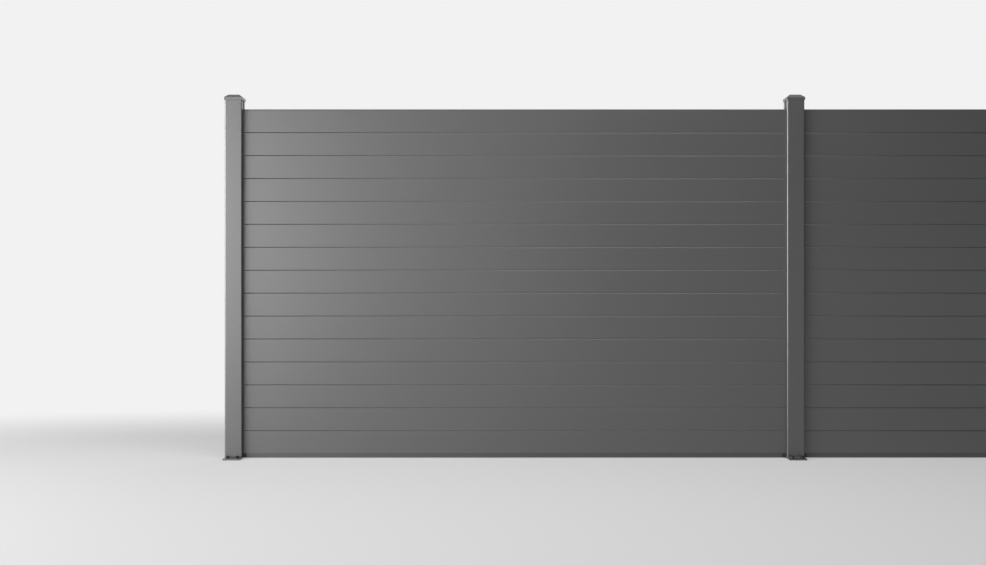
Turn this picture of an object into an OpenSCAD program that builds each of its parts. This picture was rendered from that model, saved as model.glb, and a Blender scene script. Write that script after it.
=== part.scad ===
// Steel slat privacy fence: slotted square posts on bolted base plates, with
// tongue and groove slats dropped between them. Millimetres, +X along the
// fence, the front towards -Y, +Z up. The origin is the centre of the
// underside of the first post's base plate.

/* [Fence] */
// Number of bays, each one a slat panel between two posts
bays = 3; // [1:1:6]
// Distance between the centres of neighbouring posts
bay_l = 2930; // [1200:10:4000]
// Gap between the ground and the underside of the bottom rail
ground_gap = 3; // [2:1:60]

/* [Posts] */
// Outer width and depth of the square post
post_w = 90; // [78:1:140]
// Sheet thickness of the post
post_wall = 2; // [1:0.5:4]
// Outer radius of the post's corners
post_r = 5; // [3:0.5:10]
// Height of the post above the top of the panel
post_rise = 57; // [30:1:200]
// Depth of the slot that takes the slat ends, from the post's face
slot_depth = 27; // [20:1:32]

/* [Slats] */
// Number of slats in each bay
slat_count = 15; // [3:1:20]
// Height that each slat covers
slat_cover = 120; // [80:1:180]
// Thickness of the slat across the fence
slat_t = 22; // [18:1:32]
// Sheet thickness of the slat
slat_wall = 0.8; // [0.5:0.1:1.2]
// Chamfer along the slat's two upper edges
slat_chamfer = 3; // [1:0.5:3.5]
// Width of the tongue on top of the slat
tongue_w = 10; // [8:0.5:10]
// Height of the tongue
tongue_h = 10; // [6:0.5:14]

/* [Top trim] */
// Thickness of the strip that closes the top slat
trim_t = 3; // [2:0.5:8]
// Thickness of the two legs that hold the strip in the slat
trim_leg = 1.5; // [1:0.5:3]

/* [Bottom rail] */
// Width of the rail across the fence
rail_w = 16; // [14:1:18]
// Height from the rail's underside to the lowest slat
rail_h = 22; // [14:1:60]
// Sheet thickness of the rail
rail_wall = 1.5; // [1:0.25:2.5]
// Length of the rail support outside the post's face
support_l = 18; // [10:1:40]
// Width of the rail support across the fence
support_w = 20; // [16:1:20]

/* [Post cap] */
// Overhang of the cap past the post's faces
cap_over = 3; // [2:0.5:8]
// Length of post that the cap's skirt covers
cap_lap = 12; // [6:1:40]
// Thickness of the cap over the post
cap_roof = 3; // [2:0.5:6]
// Height of the cap's pyramid
cap_rise = 15; // [6:1:40]
// Width of the flat top of the pyramid
cap_flat = 56; // [20:1:60]
// Width of the ledge that rests on the post's edge
cap_ledge = 3; // [3:0.5:8]

/* [Base plate] */
// Thickness of the plate
plate_t = 8; // [5:1:20]
// Length of the plate past the post's front and back
plate_front = 60; // [40:1:120]
// Width of the plate past the post's sides
plate_side = 0; // [0:1:8]
// Radius of the anchor holes
hole_r = 6; // [4:0.5:9]
// Distance of the hole centres from the plate's front and back edges
hole_end = 30; // [18:1:38]
// Distance of the hole centres from the plate's side edges
hole_side = 20; // [14:1:30]

/* [Clearances] */
// Clearance on each side of a slat in the post's slot
slot_gap = 1; // [0.5:0.5:3]
// Room for heat movement at each end of a slat
end_gap = 5; // [2:1:8]
// Clearance between slats that stand on each other
stack_gap = 0.3; // [0.1:0.1:0.8]
// Clearance on each side of a tongue in its groove
tongue_gap = 0.3; // [0.1:0.1:0.8]
// Clearance between the cap's skirt and the post
cap_gap = 0.3; // [0.1:0.1:0.8]

/* [Hidden] */
$fn = 48;
cut = 1; // how far a cutting shape runs past the face that it opens

posts = bays + 1;
rail_z = ground_gap;
panel_z = rail_z + rail_h;
panel_top = panel_z + slat_count * slat_cover;
post_z = plate_t;
post_top = panel_top + post_rise;

slot_w = slat_t + 2 * slot_gap;
slat_l = bay_l - post_w + 2 * (slot_depth - end_gap);
groove_w = tongue_w + 2 * tongue_gap;
groove_h = tongue_h;
bevel_inset = tan(22.5); // how far a 45 degree corner moves in for each unit of wall

rail_l = bay_l - post_w - 2 * (support_l + stack_gap);

cap_w = post_w + 2 * cap_over;
cap_bore = post_w + 2 * cap_gap;
cap_inner = post_w - 2 * cap_ledge;
cap_z = post_top - cap_lap;
cap_skirt = cap_lap + cap_roof;

plate_w = post_w + 2 * plate_side;
plate_l = post_w + 2 * plate_front;
hole_x = plate_w / 2 - hole_side;
hole_y = plate_l / 2 - hole_end;

coat = [0.36, 0.365, 0.37];
coat_dark = [0.27, 0.275, 0.28];
support_black = [0.08, 0.08, 0.085];

POST_NODES = [for (i = [1 : posts]) str("post_", i)];
CAP_NODES = [for (i = [1 : posts]) str("post_cap_", i)];
PLATE_NODES = [for (i = [1 : posts]) str("base_plate_", i)];
PANEL_NODES = [for (i = [1 : bays]) str("slat_panel_", i)];
TRIM_NODES = [for (i = [1 : bays]) str("top_trim_", i)];
RAIL_NODES = [for (i = [1 : bays]) str("bottom_rail_", i)];
SUPPORT_NODES = [for (i = [1 : bays]) str("rail_supports_", i)];

// Places along the fence, counted from 1
function post_x(i) = (i - 1) * bay_l;
function bay_x(i) = (i - 0.5) * bay_l;

// A right-hand half section, from the centre line and back to it, made whole
function both_halves(half) = concat(
    half,
    [for (k = [len(half) - 1 : -1 : 0]) [-half[k].x, half[k].y]]
);

// The bottom of every slat, moved in by t: a groove between two legs
function groove_below(t) = [
    [groove_w / 2 + t, groove_h + t],
    [groove_w / 2 + t, t],
    [slat_t / 2 - t, t]
];

// The top of a slat of height h, moved in by t: chamfered shoulders and a tongue
function tongue_above(h, t) = [
    [slat_t / 2 - t, h - slat_chamfer - t * bevel_inset],
    [slat_t / 2 - slat_chamfer - t * bevel_inset, h - t],
    [tongue_w / 2 - t, h - t],
    [tongue_w / 2 - t, h + tongue_h - t]
];

// The top of the uppermost slat of height h, moved in by t: square, with a groove
function groove_above(h, t) = [
    [slat_t / 2 - t, h - t],
    [groove_w / 2 + t, h - t],
    [groove_w / 2 + t, h - groove_h - t]
];

// Extrudes a section of width x height along the fence, centred in its length
module along_fence(l) {
    rotate([90, 0, 90]) linear_extrude(height = l, center = true) children();
}

module slat_section(t, top) {
    h = slat_cover - (top ? trim_t + stack_gap : stack_gap);
    above = top ? groove_above(h, t) : tongue_above(h, t);
    polygon(both_halves(concat(groove_below(t), above)));
}

module slat(top) {
    along_fence(slat_l) difference() {
        slat_section(0, top);
        slat_section(slat_wall, top);
    }
}

// All the slats of one bay, each one standing on the slat below
module slat_panel(i) {
    color(coat)
    for (k = [0 : slat_count - 1])
        translate([bay_x(i), 0, panel_z + k * slat_cover])
            slat(k == slat_count - 1);
}

// Flat strip flush with the top slat, with two legs down into its groove
module top_trim(i) {
    leg_h = groove_h - stack_gap;
    color(coat)
    translate([bay_x(i), 0, panel_top - trim_t])
        along_fence(slat_l) {
            translate([-slat_t / 2, 0]) square([slat_t, trim_t]);
            for (side = [-1, 1])
                translate([side * (tongue_w - trim_leg) / 2 - trim_leg / 2, -leg_h])
                    square([trim_leg, leg_h]);
        }
}

module rail_section(t) {
    h = rail_h - stack_gap;
    polygon(both_halves([
        [rail_w / 2 - t, t],
        [rail_w / 2 - t, h - t],
        [tongue_w / 2 - t, h - t],
        [tongue_w / 2 - t, h + tongue_h - t]
    ]));
}

// Closed rail under the panel, its tongue in the lowest slat's groove
module bottom_rail(i) {
    color(coat_dark)
    translate([bay_x(i), 0, rail_z])
        along_fence(rail_l) difference() {
            rail_section(0);
            rail_section(rail_wall);
        }
}

// Block that stands on the base plate inside the slot, carries the end of the
// lowest slat and reaches out past the plate to the end of the rail
module rail_support() {
    top_z = panel_z - stack_gap;
    foot_x = plate_side + stack_gap;
    difference() {
        translate([end_gap - slot_depth, -support_w / 2, rail_z])
            cube([slot_depth - end_gap + support_l, support_w, top_z - rail_z]);
        translate([-slot_depth - cut, -support_w / 2 - cut, rail_z - cut])
            cube([slot_depth + foot_x + cut, support_w + 2 * cut, post_z - rail_z + cut]);
    }
}

module rail_supports(i) {
    color(support_black)
    for (side = [0, 1])
        translate([post_x(i + side), 0, 0])
            mirror([side, 0, 0])
                translate([post_w / 2, 0, 0]) rail_support();
}

module rounded_square(w, r) {
    square([w, w - 2 * r], center = true);
    square([w - 2 * r, w], center = true);
    for (x = [-1, 1], y = [-1, 1])
        translate([x, y] * (w / 2 - r)) circle(r);
}

// Rectangle let into one side of the post, of depth d and width w
module slot_shape(side, d, w) {
    translate([side * (post_w - d + cut) / 2, 0])
        square([d + cut, w], center = true);
}

module post_section(sides) {
    difference() {
        rounded_square(post_w, post_r);
        difference() {
            rounded_square(post_w - 2 * post_wall, post_r - post_wall / 2);
            for (side = sides)
                slot_shape(side, slot_depth + post_wall, slot_w + 2 * post_wall);
        }
        for (side = sides) slot_shape(side, slot_depth, slot_w);
    }
}

// Hollow post with a slot on each side that faces a bay
module post(i) {
    sides = concat(i > 1 ? [-1] : [], i < posts ? [1] : []);
    color(coat)
    translate([post_x(i), 0, post_z])
        linear_extrude(height = post_top - post_z) post_section(sides);
}

// Straight prism and truncated pyramid on a square base
module prism(w, h) {
    translate([-w / 2, -w / 2, 0]) cube([w, w, h]);
}

module frustum(base, top, h) {
    side_view = [[-base / 2, 0], [base / 2, 0], [top / 2, h], [-top / 2, h]];
    intersection() {
        along_fence(base) polygon(side_view);
        rotate([0, 0, 90]) along_fence(base) polygon(side_view);
    }
}

// Lid with a skirt round the post, a ledge on its edge and a flat-topped pyramid
module post_cap(i) {
    color(coat)
    translate([post_x(i), 0, cap_z])
        difference() {
            union() {
                prism(cap_w, cap_skirt);
                translate([0, 0, cap_skirt]) frustum(cap_w, cap_flat, cap_rise);
            }
            translate([0, 0, -cut]) prism(cap_bore, cap_lap + cut);
            translate([0, 0, cap_lap - cut]) prism(cap_inner, cut);
            translate([0, 0, cap_lap]) intersection() {
                frustum(cap_w, cap_flat, cap_rise);
                prism(cap_inner, cap_rise);
            }
        }
}

// Plate under the post, with four anchor holes in front of it and behind it
module base_plate(i) {
    color(coat)
    translate([post_x(i), 0, 0])
        difference() {
            translate([-plate_w / 2, -plate_l / 2, 0]) cube([plate_w, plate_l, plate_t]);
            for (x = [-1, 1], y = [-1, 1])
                translate([x * hole_x, y * hole_y, -cut])
                    cylinder(r = hole_r, h = plate_t + 2 * cut);
        }
}

for (i = [1 : posts]) {
    post(i);
    post_cap(i);
    base_plate(i);
}
for (i = [1 : bays]) {
    slat_panel(i);
    top_trim(i);
    bottom_rail(i);
    rail_supports(i);
}
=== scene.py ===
import math

import bmesh
import bpy
from mathutils import Matrix, Vector


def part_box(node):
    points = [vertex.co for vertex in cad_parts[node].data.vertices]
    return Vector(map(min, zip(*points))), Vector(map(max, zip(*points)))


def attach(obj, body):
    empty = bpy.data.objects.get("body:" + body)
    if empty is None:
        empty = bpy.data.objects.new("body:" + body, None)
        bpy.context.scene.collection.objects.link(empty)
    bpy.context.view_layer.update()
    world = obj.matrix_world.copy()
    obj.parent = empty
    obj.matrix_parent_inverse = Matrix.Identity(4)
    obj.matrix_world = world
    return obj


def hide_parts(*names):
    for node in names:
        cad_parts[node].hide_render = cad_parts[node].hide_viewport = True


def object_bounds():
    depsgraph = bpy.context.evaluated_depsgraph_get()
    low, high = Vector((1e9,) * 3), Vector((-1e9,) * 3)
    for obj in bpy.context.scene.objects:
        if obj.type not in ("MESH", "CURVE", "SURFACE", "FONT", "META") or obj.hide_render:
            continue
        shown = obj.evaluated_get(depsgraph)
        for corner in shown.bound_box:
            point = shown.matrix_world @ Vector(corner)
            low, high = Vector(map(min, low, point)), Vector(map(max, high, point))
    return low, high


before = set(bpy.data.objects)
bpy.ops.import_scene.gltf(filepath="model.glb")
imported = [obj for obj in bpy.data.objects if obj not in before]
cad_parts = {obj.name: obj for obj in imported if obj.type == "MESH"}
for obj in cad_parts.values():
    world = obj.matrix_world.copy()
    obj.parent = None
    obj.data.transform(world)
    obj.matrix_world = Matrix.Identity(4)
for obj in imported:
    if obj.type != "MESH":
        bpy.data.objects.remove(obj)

cad_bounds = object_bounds()
bays = sum(name.startswith("slat_panel_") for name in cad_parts)
posts = bays + 1
mm = 0.001


# ---------------------------------------------------------------- camera
# A level view square to the front of the fence, from chest height, that takes
# in the end post, the first bay and the start of the second.
camera_height = 919 * mm
camera_along = 1352.6 * mm  # right of the end post's centre
camera_back = 7176 * mm  # from the middle of the fence's thickness

camera_data = bpy.data.cameras.new("camera")
camera_data.lens = 50
camera_data.sensor_width = 36
camera_data.clip_end = 200
camera = bpy.data.objects.new("camera", camera_data)
camera.location = (camera_along, -camera_back, camera_height)
camera.rotation_euler = (math.radians(90), 0, 0)
bpy.context.collection.objects.link(camera)
bpy.context.scene.camera = camera
bpy.context.scene.view_settings.view_transform = "Standard"


# ---------------------------------------------------------------- studio
# A pale sweep: the floor near the fence is lit by the lamps and keeps its
# shadow, and further out it runs into the flat pale tone of the backdrop.
backdrop = 0.887
floor_tone = 0.6
floor_glow = 0.35  # share of the flat tone in the lit floor
floor_size = 60
behind_pace = 2.2  # how much faster the floor fades behind the fence
front_pace = 0.6
end_pace = 1.6
fade_start = 1.8
fade_end = 6.5
ambient = 0.04
fence_middle_x = (cad_bounds[0][0] + cad_bounds[1][0]) / 2
fence_half = (cad_bounds[1][0] - cad_bounds[0][0]) / 2


class Shade:
    """One output of a node tree. Sums on it add Math nodes to the tree."""

    def __init__(self, tree, socket=None):
        self.tree = tree
        self.socket = socket

    def node(self, kind, settings=None, inputs=None, out=0):
        """Adds a node: its settings first, then its sockets' values or links."""
        made = self.tree.nodes.new(kind)
        for key, value in (settings or {}).items():
            if key == "stops":
                ramp = made.color_ramp.elements
                while len(ramp) < len(value):
                    ramp.new(0.5)
                for stop, (place, tone) in zip(ramp, value):
                    stop.position = place
                    stop.color = (tone, tone, tone, 1)
            else:
                setattr(made, key, value)
        for key, value in (inputs or {}).items():
            if isinstance(value, Shade):
                self.tree.links.new(value.socket, made.inputs[key])
            else:
                made.inputs[key].default_value = value
        return Shade(self.tree, made.outputs[out] if made.outputs else None)

    def math(self, operation, *terms):
        return self.node("ShaderNodeMath", {"operation": operation}, dict(enumerate(terms)))

    def __add__(self, other):
        return self.math("ADD", self, other)

    def __sub__(self, other):
        return self.math("SUBTRACT", self, other)

    def __rsub__(self, other):
        return self.math("SUBTRACT", other, self)

    def __mul__(self, other):
        return self.math("MULTIPLY", self, other)

    def __truediv__(self, other):
        return self.math("DIVIDE", self, other)

    __radd__ = __add__
    __rmul__ = __mul__


def pale_rays(shade, gloss=1.0):
    """1 for the rays that should meet the flat backdrop tone, gloss for glossy ones."""
    path = shade.node("ShaderNodeLightPath")
    rays = path.socket.node.outputs
    seen = Shade(shade.tree, rays["Is Camera Ray"]) + Shade(shade.tree, rays["Is Glossy Ray"]) * gloss
    return shade.math("MINIMUM", seen + Shade(shade.tree, rays["Is Transmission Ray"]), 1.0)


world = bpy.data.worlds.new("studio")
bpy.context.scene.world = world
world.use_nodes = True
world.node_tree.nodes.clear()
sky = Shade(world.node_tree)
way = sky.node("ShaderNodeTexCoord", out="Generated")
way_back = sky.node("ShaderNodeSeparateXYZ", inputs={0: way}, out="Y")
behind_fence = sky.node("ShaderNodeMapRange", {"interpolation_type": "SMOOTHSTEP"}, {
    "Value": way_back, "From Min": -0.1, "From Max": 0.4})
backdrop_light = sky.node("ShaderNodeBackground", inputs={"Color": (backdrop,) * 3 + (1,)})
room_light = sky.node("ShaderNodeBackground", inputs={"Color": (1, 1, 1, 1), "Strength": ambient})
sky.node("ShaderNodeOutputWorld", inputs={"Surface": sky.node("ShaderNodeMixShader", inputs={
    0: pale_rays(sky, behind_fence), 1: room_light, 2: backdrop_light})})

floor_material = bpy.data.materials.new("pale_floor")
floor_material.use_nodes = True
floor_material.node_tree.nodes.clear()
ground = Shade(floor_material.node_tree)
spot = ground.node("ShaderNodeTexCoord", out="Object")
spot_x = ground.node("ShaderNodeSeparateXYZ", inputs={0: spot}, out="X")
spot_y = ground.node("ShaderNodeSeparateXYZ", inputs={0: spot}, out="Y")
past_end = end_pace * ground.math(
    "MAXIMUM", ground.math("ABSOLUTE", spot_x - fence_middle_x) - fence_half, 0.0)
aside = ground.math("MAXIMUM", spot_y * behind_pace, spot_y * -front_pace)
away = ground.math("SQRT", past_end * past_end + aside * aside)
fade = ground.node("ShaderNodeMapRange", {"interpolation_type": "SMOOTHSTEP"}, {
    "Value": away, "From Min": fade_start, "From Max": fade_end, "To Min": floor_glow})
lit = ground.node("ShaderNodeBsdfDiffuse", inputs={"Color": (floor_tone,) * 3 + (1,)})
flat = ground.node("ShaderNodeEmission", inputs={"Color": (backdrop,) * 3 + (1,)})
ground.node("ShaderNodeOutputMaterial", inputs={"Surface": ground.node("ShaderNodeMixShader", inputs={
    0: fade * pale_rays(ground), 1: lit, 2: flat})})

floor_mesh = bmesh.new()
bmesh.ops.create_grid(floor_mesh, x_segments=1, y_segments=1, size=floor_size,
                      matrix=Matrix.Translation((fence_middle_x, 0, 0)))
floor_data = bpy.data.meshes.new("floor")
floor_mesh.to_mesh(floor_data)
floor_mesh.free()
floor_data.materials.append(floor_material)
floor = bpy.data.objects.new("floor", floor_data)
bpy.context.collection.objects.link(floor)


def softbox(name, place, aim, width, height, watts):
    """A rectangular diffused lamp at place, turned towards aim."""
    data = bpy.data.lights.new(name, "AREA")
    data.shape = "RECTANGLE"
    data.size = width
    data.size_y = height
    data.energy = watts
    lamp = bpy.data.objects.new(name, data)
    lamp.location = place
    lamp.rotation_euler = (Vector(aim) - Vector(place)).to_track_quat("-Z", "Y").to_euler()
    bpy.context.collection.objects.link(lamp)


softbox("left_wall", (-5.5, -7.4, 2.0), (0, 0, 0.8), 5.5, 3.4, 520)
softbox("left_side", (-5.0, -3.2, 2.0), (0.5, 0, 0.6), 4.5, 3.5, 600)
softbox("left_mid", (-2.2, -8.2, 1.5), (-0.5, 0, 0.8), 2.8, 3.0, 38)
softbox("top_front", (2.0, -2.4, 4.2), (1.9, 0, 0.6), 4.0, 2.0, 95)
softbox("front_mid", (0, -9.0, 1.6), (0, 0, 1.0), 4.0, 2.0, 22)
softbox("back", (4.4, 5.0, 4.2), (4.4, 0, 0.9), 8.0, 3.0, 90)


# ---------------------------------------------------------------- posts
# Square hollow posts, roll formed from 2 mm steel with a deep slot on each
# side that faces a bay, stood on their base plates and powder coated in a
# satin anthracite with a little metal flake.
post_wall = 2 * mm
post_corner = 5 * mm
slot_depth = 27 * mm
slot_half = 12 * mm
slot_lip = 1.5 * mm
coat_tone = 0.135
coat_metal = 0.7
coat_roughness = 0.34


def centre(node):
    low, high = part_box(node)
    return (Vector(low) + Vector(high)) / 2


def flat_face(bm, points, z=0.0):
    return bm.faces.new([bm.verts.new((x, y, z)) for x, y in points])


def hollow(bm, face, wall):
    """Turns a flat face into the ring that a sheet of that thickness makes."""
    ring = bmesh.ops.inset_region(bm, faces=[face], thickness=wall, use_even_offset=True,
                                  use_boundary=True)["faces"]
    bmesh.ops.delete(bm, geom=[face], context="FACES_ONLY")
    return ring


def pull(bm, faces, way):
    """Extrudes faces by a vector and returns what was made."""
    made = bmesh.ops.extrude_face_region(bm, geom=faces)["geom"]
    bmesh.ops.translate(bm, verts=[v for v in made if isinstance(v, bmesh.types.BMVert)], vec=way)
    return made


def round_edges(bm, edges, radius, segments=3):
    bmesh.ops.bevel(bm, geom=edges, offset=radius, offset_type="OFFSET", affect="EDGES",
                    segments=segments, profile=0.5, material=-1, clamp_overlap=True)


def long_edges(bm, along, keep=lambda middle: True):
    """The edges that run along an axis (0, 1 or 2) and whose middle is kept."""
    found = []
    for edge in bm.edges:
        run = edge.verts[1].co - edge.verts[0].co
        middle = (edge.verts[0].co + edge.verts[1].co) / 2
        if abs(run[along]) > 0.999 * run.length and keep(middle):
            found.append(edge)
    return found


def finish_piece(name, bm, material, slot, *nodes, sharp=40):
    """Makes a piece of a mesh, rides it on the fence and puts it in its nodes' place."""
    bmesh.ops.remove_doubles(bm, verts=bm.verts, dist=1e-6)
    bmesh.ops.recalc_face_normals(bm, faces=bm.faces)
    for face in bm.faces:
        face.smooth = True
    for edge in bm.edges:
        edge.smooth = len(edge.link_faces) == 2 and edge.calc_face_angle(0) < math.radians(sharp)
    data = bpy.data.meshes.new(name)
    bm.to_mesh(data)
    bm.free()
    data.materials.append(material)
    piece = bpy.data.objects.new(name, data)
    bpy.context.collection.objects.link(piece)
    normals = piece.modifiers.new("flat_faces_stay_flat", "WEIGHTED_NORMAL")
    normals.keep_sharp = True
    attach(piece, "root")
    if nodes:
        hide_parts(*nodes)
    return piece


def powder_coat(name, tone, metal, roughness):
    """Satin powder coat: faint orange peel, and a tone that drifts a little."""
    material = bpy.data.materials.new(name)
    material.use_nodes = True
    material.node_tree.nodes.clear()
    coat = Shade(material.node_tree)
    at = coat.node("ShaderNodeTexCoord", out="Object")
    drift = coat.node("ShaderNodeTexNoise", inputs={"Vector": at, "Scale": 1.3, "Detail": 3.0})
    speck = coat.node("ShaderNodeTexNoise", inputs={"Vector": at, "Scale": 900.0, "Detail": 2.0})
    peel = coat.node("ShaderNodeTexNoise", inputs={"Vector": at, "Scale": 420.0, "Detail": 1.0})
    shade = 1.0 + (drift - 0.5) * 0.05 + (speck - 0.5) * 0.10
    colour = coat.node("ShaderNodeMix", {"data_type": "RGBA", "blend_type": "MULTIPLY"}, {
        "Factor": 1.0, 6: (tone, tone * 1.005, tone * 1.01, 1),
        7: coat.node("ShaderNodeCombineXYZ", inputs={"X": shade, "Y": shade, "Z": shade})}, out=2)
    coat.node("ShaderNodeOutputMaterial", inputs={"Surface": coat.node("ShaderNodeBsdfPrincipled", inputs={
        "Base Color": colour,
        "Metallic": metal,
        "Roughness": roughness + (drift - 0.5) * 0.04,
        "Normal": coat.node("ShaderNodeBump", inputs={
            "Height": peel, "Strength": 0.06, "Distance": 0.2 * mm}, out="Normal")})})
    return material


coat_material = powder_coat("satin_powder_coat", coat_tone, coat_metal, coat_roughness)

for i in range(1, posts + 1):
    low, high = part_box(f"post_{i}")
    half = (high[0] - low[0]) / 2
    slot_floor = half - slot_depth
    slots = {1: i < posts, -1: i > 1}
    outline = []
    for side in (1, -1):
        outline.append((side * half, -side * half))
        if slots[side]:
            outline.append((side * half, -side * slot_half))
            outline.append((side * slot_floor, -side * slot_half))
            outline.append((side * slot_floor, side * slot_half))
            outline.append((side * half, side * slot_half))
        outline.append((side * half, side * half))
    bm = bmesh.new()
    ring = hollow(bm, flat_face(bm, outline), post_wall)
    pull(bm, ring, (0, 0, high[2] - low[2]))
    inner = half - post_wall
    at_corner = lambda at, half=half: abs(abs(at.x) - half) < 1e-5 and abs(abs(at.y) - half) < 1e-5
    at_lip = lambda at, half=half: abs(abs(at.x) - half) < 1e-5 and abs(abs(at.y) - slot_half) < 1e-5
    round_edges(bm, long_edges(bm, 2, at_corner), post_corner, 6)
    round_edges(bm, long_edges(bm, 2, lambda at: at_corner(at, half=inner)), post_corner - post_wall, 4)
    round_edges(bm, long_edges(bm, 2, at_lip), slot_lip, 3)
    bmesh.ops.translate(bm, verts=bm.verts, vec=(centre(f"post_{i}").x, 0, low[2]))
    finish_piece(f"fence_post_{i}", bm, coat_material, "powder_coat", f"post_{i}")


# ---------------------------------------------------------------- post caps
# A pressed lid pushed over each post: a short skirt that overhangs the post,
# under a low pyramid with a flat top, coated with the post.
cap_skirt = 15 * mm
cap_flat = 56 * mm
cap_wall = 2.4 * mm

for i in range(1, posts + 1):
    low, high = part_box(f"post_cap_{i}")
    width = high[0] - low[0]
    bm = bmesh.new()
    bmesh.ops.create_cube(bm, size=1, matrix=Matrix.Diagonal((width, width, cap_skirt, 1)))
    top = max(bm.faces, key=lambda f: f.calc_center_median().z)
    under = min(bm.faces, key=lambda f: f.calc_center_median().z)
    bmesh.ops.inset_region(bm, faces=[top], thickness=(width - cap_flat) / 2, use_even_offset=True,
                           use_boundary=True)
    bmesh.ops.translate(bm, verts=top.verts, vec=(0, 0, high[2] - low[2] - cap_skirt))
    bmesh.ops.delete(bm, geom=[under], context="FACES_ONLY")
    bmesh.ops.translate(bm, verts=bm.verts, vec=(centre(f"post_cap_{i}").x, 0, low[2] + cap_skirt / 2))
    cap = finish_piece(f"cap_{i}", bm, coat_material, "powder_coat", f"post_cap_{i}", sharp=20)
    sheet = cap.modifiers.new("sheet", "SOLIDIFY")
    sheet.thickness = cap_wall
    sheet.offset = -1
    soft = cap.modifiers.new("soft_edges", "BEVEL")
    soft.width = 1.2 * mm
    soft.segments = 3
    soft.limit_method = "ANGLE"
    soft.angle_limit = math.radians(15)
    cap.modifiers.move(0, 2)


# ---------------------------------------------------------------- base plates
# A flat steel plate under each post, longer than the post in front and behind,
# with four drilled anchor holes, welded to the post before coating.
anchor_hole = 6 * mm
hole_from_end = 30 * mm
hole_from_side = 20 * mm
plate_edge = 0.8 * mm


def anchor_spots(plate):
    low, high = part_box(plate)
    return [Vector((x, y, high[2]))
            for x in (low[0] + hole_from_side, high[0] - hole_from_side)
            for y in (low[1] + hole_from_end, high[1] - hole_from_end)]


def steep_edges(bm, degrees):
    return [e for e in bm.edges if e.calc_face_angle(0) > math.radians(degrees)]


for i in range(1, posts + 1):
    low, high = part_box(f"base_plate_{i}")
    bm = bmesh.new()
    corners = [(low[0], low[1]), (high[0], low[1]), (high[0], high[1]), (low[0], high[1])]
    rim = [bm.verts.new((x, y, low[2])) for x, y in corners]
    for k in range(4):
        bm.edges.new((rim[k - 1], rim[k]))
    for spot in anchor_spots(f"base_plate_{i}"):
        bmesh.ops.create_circle(bm, segments=32, radius=anchor_hole,
                                matrix=Matrix.Translation((spot.x, spot.y, low[2])))
    bmesh.ops.triangle_fill(bm, edges=bm.edges[:], use_beauty=True, use_dissolve=True)
    pull(bm, bm.faces[:], (0, 0, high[2] - low[2]))
    bmesh.ops.recalc_face_normals(bm, faces=bm.faces)
    round_edges(bm, steep_edges(bm, 60), plate_edge, 2)
    finish_piece(f"foot_plate_{i}", bm, coat_material, "powder_coat", f"base_plate_{i}")


# ---------------------------------------------------------------- welds
# A fillet weld along the front and the back of each post's foot holds it on its
# plate. It was laid by hand, so it is rippled, and is coated over with the post.
weld_leg = 4 * mm
weld_bulge = 0.8  # height of the bead's middle as a share of a round one
ripple = 4 * mm
ripple_dip = 0.94
weld_ends = 0.55

for i in range(1, posts + 1):
    low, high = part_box(f"post_{i}")
    run = high[0] - low[0] - 2 * post_corner
    count = 2 * round(run / ripple)
    bm = bmesh.new()
    rim = [bm.verts.new((0, 0, 0))]
    for degrees in (0, 30, 60, 90):
        reach = weld_leg * (1 if degrees in (0, 90) else weld_bulge)
        angle = math.radians(degrees)
        rim.append(bm.verts.new((0, -reach * math.cos(angle), reach * math.sin(angle))))
    tip = bm.faces.new(rim)
    bmesh.ops.scale(bm, vec=(weld_ends,) * 3, verts=rim)
    for k in range(1, count + 1):
        made = pull(bm, [tip], (run / count, 0, 0))
        tip = next(part for part in made if isinstance(part, bmesh.types.BMFace))
        swell = ripple_dip if k % 2 else 1 / ripple_dip
        if k in (1, count):
            swell = weld_ends ** (1 if k == count else -1)
        bmesh.ops.scale(bm, vec=(swell,) * 3, verts=tip.verts,
                        space=Matrix.Translation((-k * run / count, 0, 0)))
    bmesh.ops.translate(bm, verts=bm.verts, vec=(low[0] + post_corner, low[1], low[2]))
    bmesh.ops.mirror(bm, geom=bm.verts[:] + bm.edges[:] + bm.faces[:], axis="Y", merge_dist=-1)
    finish_piece(f"foot_weld_{i}", bm, coat_material, "powder_coat")


# ---------------------------------------------------------------- anchor bolts
# Four M10 anchors hold each plate down. A stud comes up through each hole, and a
# hexagon nut on a flat washer is tightened over it. All of it is nearly black steel.
washer_radius = 10 * mm
washer_bore = 5.5 * mm
washer_thick = 1.8 * mm
nut_flats = 17 * mm
nut_height = 8 * mm
nut_chamfer = 1.4 * mm
stud_radius = 5 * mm
stud_core = 4.2 * mm
stud_proud = 3 * mm  # above the nut
thread_pitch = 1.5 * mm


def disc(bm, segments, radius, z):
    made = bmesh.ops.create_circle(bm, cap_ends=True, segments=segments, radius=radius,
                                   matrix=Matrix.Translation((0, 0, z)))
    return next(iter(made["verts"][0].link_faces))


def join_mesh(bm, other, matrix=Matrix()):
    """Adds another bmesh to this one, placed by matrix, and frees it."""
    bmesh.ops.recalc_face_normals(other, faces=other.faces)
    bmesh.ops.transform(other, matrix=matrix, verts=other.verts)
    between = bpy.data.meshes.new("between")
    other.to_mesh(between)
    other.free()
    bm.from_mesh(between)
    bpy.data.meshes.remove(between)


def add_washer(bm):
    plate = bmesh.new()
    pull(plate, hollow(plate, disc(plate, 32, washer_radius, 0), washer_radius - washer_bore),
         (0, 0, washer_thick))
    round_edges(plate, steep_edges(plate, 60), 0.3 * mm, 2)
    join_mesh(bm, plate)


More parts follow.
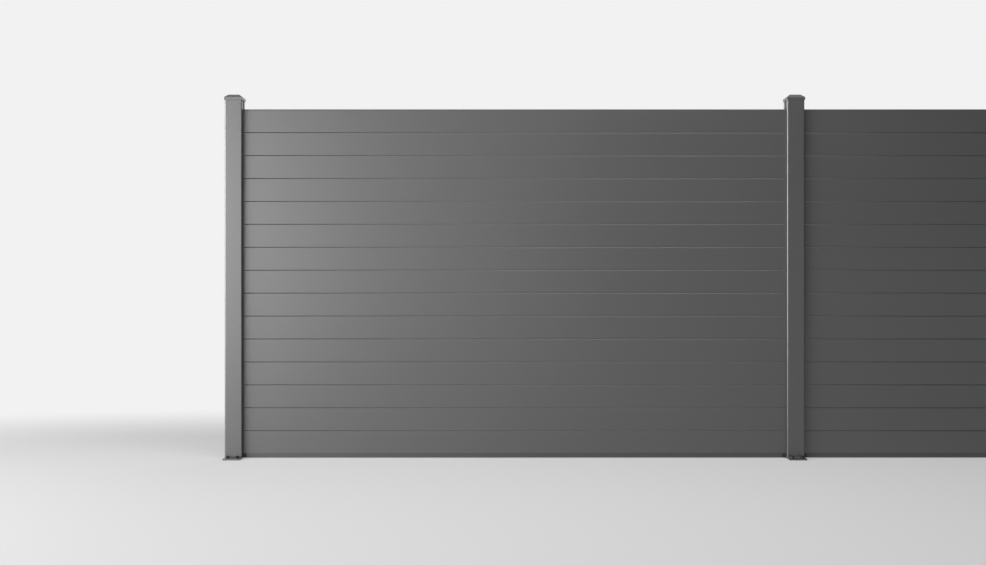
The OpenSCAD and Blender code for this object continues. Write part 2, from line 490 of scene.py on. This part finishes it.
def add_nut(bm):
    nut = bmesh.new()
    pull(nut, [disc(nut, 48, nut_flats / math.sqrt(3), washer_thick)], (0, 0, nut_height))
    bmesh.ops.recalc_face_normals(nut, faces=nut.faces)
    round_edges(nut, steep_edges(nut, 60), nut_chamfer, 1)
    for side in range(6):
        turn = math.radians(60 * side)
        normal = Vector((math.cos(turn), math.sin(turn), 0))
        cut = bmesh.ops.bisect_plane(nut, geom=nut.verts[:] + nut.edges[:] + nut.faces[:], dist=1e-7,
                                     plane_co=normal * nut_flats / 2, plane_no=normal, clear_outer=True)
        flat_rim = [part for part in cut["geom_cut"] if isinstance(part, bmesh.types.BMEdge)]
        bmesh.ops.edgeloop_fill(nut, edges=flat_rim)
    top = max(nut.faces, key=lambda face: face.calc_center_median().z)
    outer = nut_flats / math.sqrt(3) - nut_chamfer
    bmesh.ops.inset_region(nut, faces=[top], thickness=outer - stud_radius - 0.4 * mm)
    bmesh.ops.inset_region(nut, faces=[top], thickness=0.6 * mm, depth=-0.6 * mm)
    join_mesh(bm, nut)


def add_stud(bm):
    top = washer_thick + nut_height + stud_proud
    core = bmesh.new()
    pull(core, [disc(core, 24, stud_core, 0)], (0, 0, top))
    bmesh.ops.recalc_face_normals(core, faces=core.faces)
    round_edges(core, [e for e in steep_edges(core, 60) if e.verts[0].co.z > top / 2], 0.6 * mm, 1)
    join_mesh(bm, core)
    ridge = bmesh.new()
    turns = 3
    start = top - (turns + 1) * thread_pitch
    corners = ((stud_core - 0.2 * mm, 0.05), (stud_radius, 0.45), (stud_radius, 0.55), (stud_core - 0.2 * mm, 0.95))
    tooth = ridge.faces.new([ridge.verts.new((r, 0, start + share * thread_pitch)) for r, share in corners])
    bmesh.ops.spin(ridge, geom=[tooth], cent=(0, 0, 0), axis=(0, 0, 1), angle=2 * math.pi * turns,
                   steps=20 * turns, dvec=(0, 0, thread_pitch / 20))
    join_mesh(bm, ridge)


def near_black_steel():
    material = bpy.data.materials.new("near_black_steel")
    material.use_nodes = True
    material.node_tree.nodes.clear()
    steel = Shade(material.node_tree)
    at = steel.node("ShaderNodeTexCoord", out="Object")
    blotch = steel.node("ShaderNodeTexNoise", inputs={"Vector": at, "Scale": 160.0, "Detail": 4.0})
    grain = steel.node("ShaderNodeTexNoise", inputs={"Vector": at, "Scale": 1400.0, "Detail": 2.0})
    tone = 0.016 + blotch * 0.022
    steel.node("ShaderNodeOutputMaterial", inputs={"Surface": steel.node("ShaderNodeBsdfPrincipled", inputs={
        "Base Color": steel.node("ShaderNodeCombineXYZ", inputs={"X": tone, "Y": tone, "Z": tone * 1.03}),
        "Metallic": 0.6,
        "Roughness": 0.36 + blotch * 0.25,
        "Normal": steel.node("ShaderNodeBump", inputs={
            "Height": grain, "Strength": 0.25, "Distance": 0.1 * mm}, out="Normal")})})
    return material


bolt_material = near_black_steel()
nut_turn = 37  # degrees from one nut's hexagon to the next, as they happened to end up

for i in range(1, posts + 1):
    bm = bmesh.new()
    for k, spot in enumerate(anchor_spots(f"base_plate_{i}")):
        bolt = bmesh.new()
        add_washer(bolt)
        add_nut(bolt)
        add_stud(bolt)
        turned = Matrix.Rotation(math.radians(nut_turn * (4 * i + k)), 4, "Z")
        join_mesh(bm, bolt, Matrix.Translation(spot) @ turned)
    finish_piece(f"anchor_bolts_{i}", bm, bolt_material, "rail_coat", sharp=30)


# ---------------------------------------------------------------- slats
# Fifteen roll-formed steel slats fill a bay. Each is a hollow section with a
# tongue on top, a groove below and a small chamfer along its upper edges, and
# stands on the slat below with its ends in the posts' slots.
slat_cover = 120 * mm
slat_wall = 0.8 * mm
slat_gap = 0.3 * mm
chamfer = 3 * mm
tongue_half = 5 * mm
tongue_height = 10 * mm
groove_half = 5.3 * mm
trim_thickness = 3 * mm
fold_radius = 0.5 * mm
shoulder_bend = 1.8 * mm


def section_along(bm, points, wall, length):
    """Extrudes a section of (y, z) points along X, as a sheet if it has a wall."""
    face = bm.faces.new([bm.verts.new((-length / 2, y, z)) for y, z in points])
    pull(bm, hollow(bm, face, wall) if wall else [face], (length, 0, 0))


def both_halves(half):
    return half + [(-y, z) for y, z in reversed(half)]


def slat_section(half, is_top):
    groove = [(groove_half, tongue_height), (groove_half, 0), (half, 0)]
    if is_top:
        top = slat_cover - trim_thickness - slat_gap
        return both_halves(groove + [(half, top), (groove_half, top), (groove_half, top - tongue_height)])
    top = slat_cover - slat_gap
    return both_halves(groove + [(half, top - chamfer), (half - chamfer, top), (tongue_half, top),
                                 (tongue_half, top + tongue_height)])


for i in range(1, bays + 1):
    low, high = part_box(f"slat_panel_{i}")
    half = (high[1] - low[1]) / 2
    count = round((high[2] - low[2]) / slat_cover)
    panel = bmesh.new()
    for k in range(count):
        bm = bmesh.new()
        section_along(bm, slat_section(half, k == count - 1), slat_wall, high[0] - low[0])
        shoulder = slat_cover - slat_gap - chamfer
        on_face = lambda at: abs(abs(at.y) - half) < 1e-5
        at_shoulder = lambda at: on_face(at) and abs(at.z - shoulder) < 1e-5
        at_foot = lambda at: on_face(at) and abs(at.z - shoulder) > 1e-5
        round_edges(bm, long_edges(bm, 0, at_shoulder), shoulder_bend, 5)
        round_edges(bm, long_edges(bm, 0, at_foot), fold_radius, 2)
        bmesh.ops.translate(bm, verts=bm.verts, vec=(centre(f"slat_panel_{i}").x, 0,
                                                     low[2] + k * slat_cover))
        one = bpy.data.meshes.new("slat")
        bm.to_mesh(one)
        bm.free()
        panel.from_mesh(one)
        bpy.data.meshes.remove(one)
    finish_piece(f"slats_{i}", panel, coat_material, "powder_coat", f"slat_panel_{i}")


# ---------------------------------------------------------------- top trims
# A strip flush with the top slat closes its open groove. It is held by two
# legs pressed down into the groove.
trim_leg = 1.5 * mm

for i in range(1, bays + 1):
    low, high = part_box(f"top_trim_{i}")
    half = (high[1] - low[1]) / 2
    leg_foot = low[2] - high[2] + trim_thickness
    bm = bmesh.new()
    section_along(bm, both_halves([
        (tongue_half - trim_leg, 0), (tongue_half - trim_leg, leg_foot), (tongue_half, leg_foot),
        (tongue_half, 0), (half, 0), (half, trim_thickness)]), 0, high[0] - low[0])
    round_edges(bm, long_edges(bm, 0, lambda at: at.z > trim_thickness - 1e-5), fold_radius, 2)
    bmesh.ops.translate(bm, verts=bm.verts, vec=(centre(f"top_trim_{i}").x, 0, high[2] - trim_thickness))
    finish_piece(f"closing_strip_{i}", bm, coat_material, "powder_coat", f"top_trim_{i}")


# ---------------------------------------------------------------- bottom rails
# A closed steel channel, narrower than the slats, clipped up into the lowest
# slat's groove. It ends short of the posts. Its coat is given a darker tone than
# the slats' coat as painted shade for its recess under the lowest slat.
rail_wall = 1.5 * mm
# painted shade: the rail's coat tone is set below the slats' to stand for the shade in its recess
rail_shaded_tone = 0.105
rail_painted_shade_material = powder_coat("rail_powder_coat_painted_shade", rail_shaded_tone, coat_metal, coat_roughness)

for i in range(1, bays + 1):
    low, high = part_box(f"bottom_rail_{i}")
    half = (high[1] - low[1]) / 2
    shoulder = high[2] - low[2] - tongue_height
    bm = bmesh.new()
    section_along(bm, both_halves([(half, 0), (half, shoulder), (tongue_half, shoulder),
                                   (tongue_half, shoulder + tongue_height)]), rail_wall, high[0] - low[0])
    round_edges(bm, long_edges(bm, 0, lambda at: abs(abs(at.y) - half) < 1e-5), 2 * fold_radius, 2)
    bmesh.ops.translate(bm, verts=bm.verts, vec=(centre(f"bottom_rail_{i}").x, 0, low[2]))
    finish_piece(f"rail_{i}", bm, rail_painted_shade_material, "rail_coat", f"bottom_rail_{i}")


# ---------------------------------------------------------------- rail supports
# A black moulded plastic block stands on the plate in each slot. It carries the
# end of the lowest slat and reaches out of the post to meet the rail's end.
support_reach = 18 * mm
support_step = 0.3 * mm  # from the plate's edge to the block's foot
support_round = 0.8 * mm
pocket_rim = 3 * mm
pocket_depth = 1.2 * mm


def moulded_plastic(name, tone):
    """Black moulded plastic: fine spark grain and faint flow marks."""
    material = bpy.data.materials.new(name)
    material.use_nodes = True
    material.node_tree.nodes.clear()
    plastic = Shade(material.node_tree)
    at = plastic.node("ShaderNodeTexCoord", out="Object")
    flow = plastic.node("ShaderNodeTexNoise", inputs={
        "Vector": at, "Scale": 60.0, "Detail": 2.0, "Distortion": 1.5})
    grain = plastic.node("ShaderNodeTexVoronoi", inputs={"Vector": at, "Scale": 2200.0})
    shade = tone + flow * (0.6 * tone)
    plastic.node("ShaderNodeOutputMaterial", inputs={"Surface": plastic.node("ShaderNodeBsdfPrincipled", inputs={
        "Base Color": plastic.node("ShaderNodeCombineXYZ", inputs={"X": shade, "Y": shade, "Z": shade * 1.05}),
        "Roughness": 0.5 + (flow - 0.5) * 0.15,
        "Normal": plastic.node("ShaderNodeBump", inputs={
            "Height": grain, "Strength": 0.3, "Distance": 0.1 * mm}, out="Normal")})})
    return material


plastic_material = moulded_plastic("black_moulded_plastic", 0.014)

for i in range(1, bays + 1):
    low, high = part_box(f"rail_supports_{i}")
    post_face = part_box(f"post_{i}")[1][0]
    plate_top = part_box(f"base_plate_{i}")[1][2]
    step = post_face + support_step
    tip = post_face + support_reach
    bm = bmesh.new()
    side = bm.faces.new([bm.verts.new((x, low[1], z)) for x, z in (
        (low[0], plate_top), (step, plate_top), (step, low[2]), (tip, low[2]), (tip, high[2]),
        (low[0], high[2]))])
    pull(bm, [side], (0, high[1] - low[1], 0))
    bmesh.ops.recalc_face_normals(bm, faces=bm.faces)
    round_edges(bm, steep_edges(bm, 60), support_round, 2)
    flanks = [face for face in bm.faces if abs(abs(face.calc_center_median().y) - high[1]) < 1e-6]
    bmesh.ops.inset_individual(bm, faces=flanks, thickness=pocket_rim, depth=0)
    bmesh.ops.inset_individual(bm, faces=flanks, thickness=0.3 * mm, depth=-pocket_depth)
    bmesh.ops.mirror(bm, geom=bm.verts[:] + bm.edges[:] + bm.faces[:], axis="X", merge_dist=-1,
                     matrix=Matrix.Translation((-centre(f"rail_supports_{i}").x, 0, 0)))
    finish_piece(f"support_blocks_{i}", bm, plastic_material, "black_plastic", f"rail_supports_{i}")
